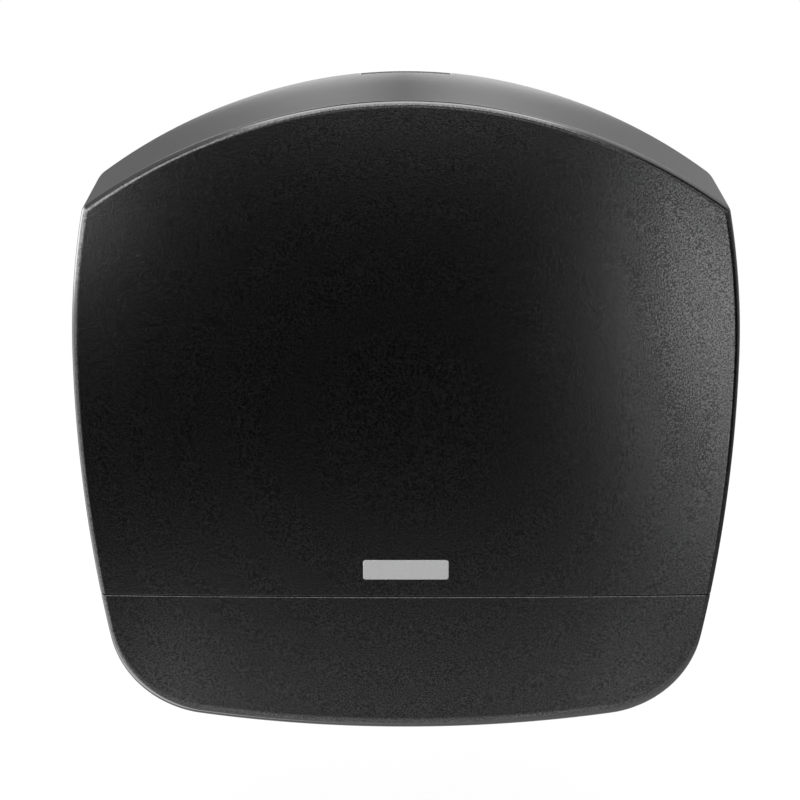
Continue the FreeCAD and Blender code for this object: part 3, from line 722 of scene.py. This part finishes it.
def lower_cover():
    mesh = shell_form(0.0, cover_wall, rim_y, True)
    slice_off(mesh, seam_low, False, seam_roll)
    step = cover_wall + lap_gap
    lap = shell_form(step, step + lap_wall, lap_rear_y, False)
    slice_off(lap, seam_low - lap_bite, True)
    slice_off(lap, seam_high + lap_height, False)
    root = shell_form(cover_wall - lap_bite, step + lap_wall, lap_rear_y, False)
    slice_off(root, seam_low - lap_height, True)
    slice_off(root, seam_low - 0.01, False)
    combine(mesh, root, "UNION")
    combine(mesh, lap, "UNION")
    tab_rear_y = tab_boss_rear_y + tab_wall
    feet = bmesh.new()
    for x in tabs:
        lap_y = dome_y(x, seam_z, step + tab_foot_sunk)
        block(feet, x - tab_half_width, x + tab_half_width, lap_y, tab_rear_y,
              seam_high + tab_foot_rise, seam_high + tab_foot_rise + tab_wall)
    combine(mesh, feet, "UNION")
    plates = bmesh.new()
    for x in tabs:
        block(plates, x - tab_half_width, x + tab_half_width, tab_boss_rear_y, tab_rear_y,
              seam_high + tab_rise, tab_screw_z + tab_half_width)
    combine(mesh, plates, "UNION")
    combine(mesh, slot_kerb(), "UNION")
    webs = bmesh.new()
    barrels = bmesh.new()
    for side in (-1, 1):
        left, right = sorted((side * knuckle_inner_x, side * knuckle_outer_x))
        block(webs, left, right, hinge_y - knuckle_radius, hinge_y + web_behind,
              bottom_z + web_root, hinge_z)
        rod(barrels, (left, hinge_y, hinge_z), (right, hinge_y, hinge_z), knuckle_radius, knuckle_sides)
    combine(mesh, webs, "UNION")
    combine(mesh, barrels, "UNION")
    cuts = bmesh.new()
    for x in tabs:
        pilot_hole(cuts, (x, tab_boss_rear_y - 1, tab_screw_z), (x, tab_rear_y + 1, tab_screw_z))
    for side in (-1, 1):
        left, right = sorted((side * pin_hole_inner_x, side * pin_hole_outer_x))
        rod(cuts, (left, hinge_y, hinge_z), (right, hinge_y, hinge_z), pin_hole_radius, pin_hole_sides)
    half_y = (slot_rear_y - slot_front_y) / 2
    middle_y = (slot_rear_y + slot_front_y) / 2
    points = rounded_patch(slot_half_width, half_y, slot_corner, slot_corner_steps)
    low, high = ([cuts.verts.new((px, middle_y + py, z)) for px, py in points]
                 for z in (bottom_z - 2 * reach_past, bottom_z + kerb_height))
    join_loops(cuts, low, high)
    cuts.faces.new(low[::-1])
    cuts.faces.new(high)
    combine(mesh, cuts, "DIFFERENCE")
    swing = bmesh.new()
    block(swing, -300, 300, hinge_y + web_behind, reach_past, -300, hinge_z)
    combine(mesh, swing, "DIFFERENCE")
    tidy(mesh)
    return new_piece("lower_front", mesh, black_plastic)


cover_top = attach(upper_cover(), "cover")
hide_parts("cover_shell")
cover_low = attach(lower_cover(), "cover")
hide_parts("lower_cover")


# Bare plate

def front_plate():
    """A thin plate that follows the dome, with a rounded rim"""
    mesh = bmesh.new()
    rings = []
    profile = ((0.0, -plate_sunk), (0.0, 0.06), (0.07, 0.2), (0.24, 0.29), (0.5, plate_proud))
    for shrink, rise in profile:
        points = rounded_patch(plate_width / 2 - shrink, plate_height / 2 - shrink,
                               plate_corner - shrink, plate_corner_steps)
        rings.append([Vector((px, dome_y(px, plate_z + pz) - rise, plate_z + pz)) for px, pz in points])
    rim = rings[-1]
    for share in (0.75, 0.5, 0.25):
        ring = [Vector((p.x * share, 0, plate_z + (p.z - plate_z) * share)) for p in rim]
        for p in ring:
            p.y = dome_y(p.x, p.z) - plate_proud
        rings.append(ring)
    loops = add_rings(mesh, rings)
    close_centre(mesh, loops[-1], Vector((0, dome_y(0, plate_z) - plate_proud, plate_z)))
    close_centre(mesh, loops[0], Vector((0, dome_y(0, plate_z) + plate_sunk, plate_z)), flip=True)
    bmesh.ops.recalc_face_normals(mesh, faces=mesh.faces)
    return new_piece("bare_plate", mesh, bare_plate, 50)


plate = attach(front_plate(), "cover")
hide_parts("name_plate")


# Push button

def push_button():
    """The cap follows the top arch between the two sides of its notch, with a socket below it"""
    mesh = bmesh.new()
    turns = [math.radians(90 * k / button_edge_steps) for k in range(button_edge_steps + 1)]
    bends = [(button_edge * (1 - math.sin(turn)), button_edge * (1 - math.cos(turn))) for turn in turns]
    profile = [(button_front_y + back, drop) for back, drop in reversed(bends)]
    profile += [(button_rear_y - back, drop) for back, drop in bends]
    profile += [(button_rear_y, button_wall), (button_front_y, button_wall)]
    loops = []
    for step in range(button_steps + 1):
        x = -button_half_width + 2 * button_half_width * step / button_steps
        row = []
        for y, drop in profile:
            radius = top_arch_radius + (y - outline_y) * top_slope - drop
            row.append(mesh.verts.new((x, y, top_z - top_arch_radius + math.sqrt(radius ** 2 - x ** 2))))
        loops.append(row)
    for a, b in zip(loops, loops[1:]):
        join_loops(mesh, a, b)
    mesh.faces.new(loops[0][::-1])
    mesh.faces.new(loops[-1])
    bmesh.ops.recalc_face_normals(mesh, faces=mesh.faces)
    socket = bmesh.new()
    block(socket, -socket_half_width, socket_half_width, socket_front_y, socket_rear_y,
          socket_low_z, socket_high_z)
    combine(mesh, socket, "UNION")
    holes = bmesh.new()
    for x in button_screws:
        pilot_hole(holes, (x, button_hole_front_y, button_screw_z), (x, button_hole_rear_y, button_screw_z))
    combine(mesh, holes, "DIFFERENCE")
    tidy(mesh)
    return new_piece("push_button", mesh, button_plastic)


def bowed_spring():
    """A steel strip bowed upwards between the floor of the latch housing and the slider"""
    low = spring_floor_z + spring_end_gap
    rise = spring_height - 2 * spring_end_gap
    radius = (spring_half_span ** 2 + rise ** 2) / (2 * rise)
    centre_z = low + rise - radius
    half_turn = math.asin(spring_half_span / radius)
    front, rear = spring_rear_y - spring_width, spring_rear_y
    inner = radius - spring_wall
    rings = []
    for k in range(spring_steps + 1):
        angle = half_turn * (2 * k / spring_steps - 1)
        corners = ((radius, front), (radius, rear), (inner, rear), (inner, front))
        rings.append([Vector((arm * math.sin(angle), y, max(centre_z + arm * math.cos(angle), low)))
                      for arm, y in corners])
    mesh = bmesh.new()
    loops = add_rings(mesh, rings)
    mesh.faces.new(loops[0])
    mesh.faces.new(loops[-1])
    bmesh.ops.recalc_face_normals(mesh, faces=mesh.faces)
    return new_piece("bowed_spring", mesh, spring_steel)


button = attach(push_button(), "release")
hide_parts("release_button")
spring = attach(bowed_spring(), "wall_unit")
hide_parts("latch_spring")
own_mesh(spring)


# Finishes of the parts that keep their shape

finishes = (
    (frame_plastic, ("wall_plate", "latch_housing", "spindle_post", "stub_post")),
    (hub_plastic, ("latch_slider", "roll_hub", "spindle_cap", "stub_hub")),
    (zinc_steel, ("cover_screws", "tear_bar_rivets", "catch_plate", "catch_screws", "hinge_pins",
                  "button_screws", "housing_screws", "post_screws", "spindle_cap_screw",
                  "stub_washer", "stub_screw")),
    (tooth_steel, ("tear_bar",)),
)
for material, members in finishes:
    for member in members:
        slots = nodes[member].data.materials
        slots.clear()
        slots.append(material)


# Floor, light and camera

def pale_floor():
    mesh = bmesh.new()
    bmesh.ops.create_circle(mesh, cap_ends=True, segments=floor_sides, radius=floor_radius)
    bmesh.ops.translate(mesh, verts=mesh.verts, vec=(0, 0, floor_z))
    material, f = finish_named("pale_floor")
    seen = f.node("ShaderNodeLightPath").value("Is Camera Ray")
    lit = f.node("ShaderNodeBsdfDiffuse", None, {"Color": (0.8, 0.8, 0.8, 1.0)})
    white = f.node("ShaderNodeEmission", None, {"Color": (1.0, 1.0, 1.0, 1.0), "Strength": 1.0})
    both = f.node("ShaderNodeMixShader", None, {0: seen * floor_glow, 1: lit.out(), 2: white.out()})
    f.node("ShaderNodeOutputMaterial", None, {"Surface": both.out()})
    floor = new_piece("floor", mesh, material)
    floor.visible_glossy = False


# Panels of light round the object. Across, height and over are directions in degrees: to the right of
# straight ahead, above the horizon, and from straight ahead up over the top. The front faces straight ahead.

def far_wall(across, height):
    """A low band ahead, weaker at the left"""
    ahead = (across.between(-9.0, -1.0) * 0.55 + 0.45) * (1 - across.size().between(40.0, 80.0))
    return height.between(-7.0, 5.0) * (1 - height.between(8.0, 20.0)) * ahead * 1.05


def bright_ground(across, height, toward):
    """Light from below, with a bright patch ahead of each lower corner"""
    drop = height * -1
    ground = drop.between(15.0, 42.0) * (toward.between(-0.3, 0.6) * 0.7 + 0.3)
    aslant = across.size()
    patches = aslant.between(8.0, 9.4) * (1 - aslant.between(9.9, 11.4)) * drop.between(22.0, 25.5)
    return ground + patches * 0.9


def right_panel(across, height):
    """A low panel that ends in a slant at the top"""
    panel = across.between(8.6, 11.0) * 2.3 + across.between(11.6, 14.4) * 2.4
    strip = across.between(9.3, 11.0) * (1 - across.between(12.8, 14.5)) * height.between(-16.0, -10.0)
    panel = panel + strip * 1.1
    panel = panel * (1 - across.between(24.0, 34.0)) * height.between(-28.0, -4.0)
    return panel * (1 - (height + (across - 12.5) * 1.2).between(-9.0, -4.0))


def left_panel(across, height):
    """The widest panel, which ends in a slant towards the middle"""
    outward = across * -1
    slant = height - (across + 12.0) * 0.93
    panel = outward.between(12.4, 13.8) * (height.between(-9.4, -6.4) * 5.2 + 0.35)
    panel = panel + outward.between(18.0, 40.0) * 1.9
    panel = panel * (1 - outward.between(110.0, 140.0)) * slant.between(-9.7, -8.9)
    return panel * (1 - height.between(16.0, 36.0)) * 0.72


def top_panel(x, over):
    panel = over.between(27.0, 39.0) * (1 - over.between(104.0, 120.0))
    return panel * (1 - x.size().between(0.34, 0.46)) * 3.5


def dim_sky(x, height, toward):
    brighter_left = (x * -1).between(-0.4, 0.0) * 0.36 + 0.12
    return height.between(-2.0, 10.0) * toward.between(-0.2, 0.2) * brighter_left


def light_behind(x, height, toward):
    """A dim side behind the object with a glow in the middle, which the top of the cover mirrors"""
    width = x.size()
    lifted = height + width * 20
    glow = lifted.between(10.0, 12.8) * (1 - height.between(14.0, 18.0)) * (1 - width.between(0.2, 0.35))
    base = width.between(0.1, 0.25) * 0.11 + x * 0.16 + 0.117
    base = base * (height.between(12.0, 50.0) * (width.between(0.2, 0.35) * 0.6 + 1.4) + 1)
    rear = (1 - (toward - width.between(0.3, 0.5) * 0.5).between(-0.3, 0.1)) * height.between(-30.0, -6.0)
    return rear * (1 - height.between(65.0, 85.0)) * (glow * 1.7 + base)


def studio():
    """White behind the object for the camera, and the panels for the light and its reflections"""
    world = bpy.data.worlds.new("studio")
    bpy.context.scene.world = world
    world.use_nodes = True
    f = Finish(world.node_tree)
    seen = f.node("ShaderNodeLightPath").value("Is Camera Ray")
    x, y, z = f.axes(f.node("ShaderNodeTexCoord").out("Generated"))
    toward = y * -1
    in_degrees = 180 / math.pi
    across = x.maths("ARCTAN2", toward) * in_degrees
    height = z.maths("ARCSINE") * in_degrees
    over = z.maths("ARCTAN2", toward) * in_degrees
    least = 0.015
    level = far_wall(across, height) + bright_ground(across, height, toward)
    level = level + right_panel(across, height) + left_panel(across, height) + top_panel(x, over)
    level = level + dim_sky(x, height, toward) + light_behind(x, height, toward) + least
    strength = seen + (1 - seen) * level
    background = f.node("ShaderNodeBackground", None, {"Color": (1, 1, 1, 1), "Strength": strength})
    f.node("ShaderNodeOutputWorld", None, {"Surface": background.out()})


def photo_camera():
    data = bpy.data.cameras.new("photo_camera")
    data.sensor_width = camera_sensor
    data.lens = camera_lens
    camera = bpy.data.objects.new("photo_camera", data)
    camera.location = camera_place
    camera.rotation_euler = (math.radians(90 - camera_drop_degrees), 0, 0)
    bpy.context.scene.collection.objects.link(camera)
    bpy.context.scene.camera = camera


pale_floor()
studio()
photo_camera()
bpy.context.scene.view_settings.view_transform = "Standard"
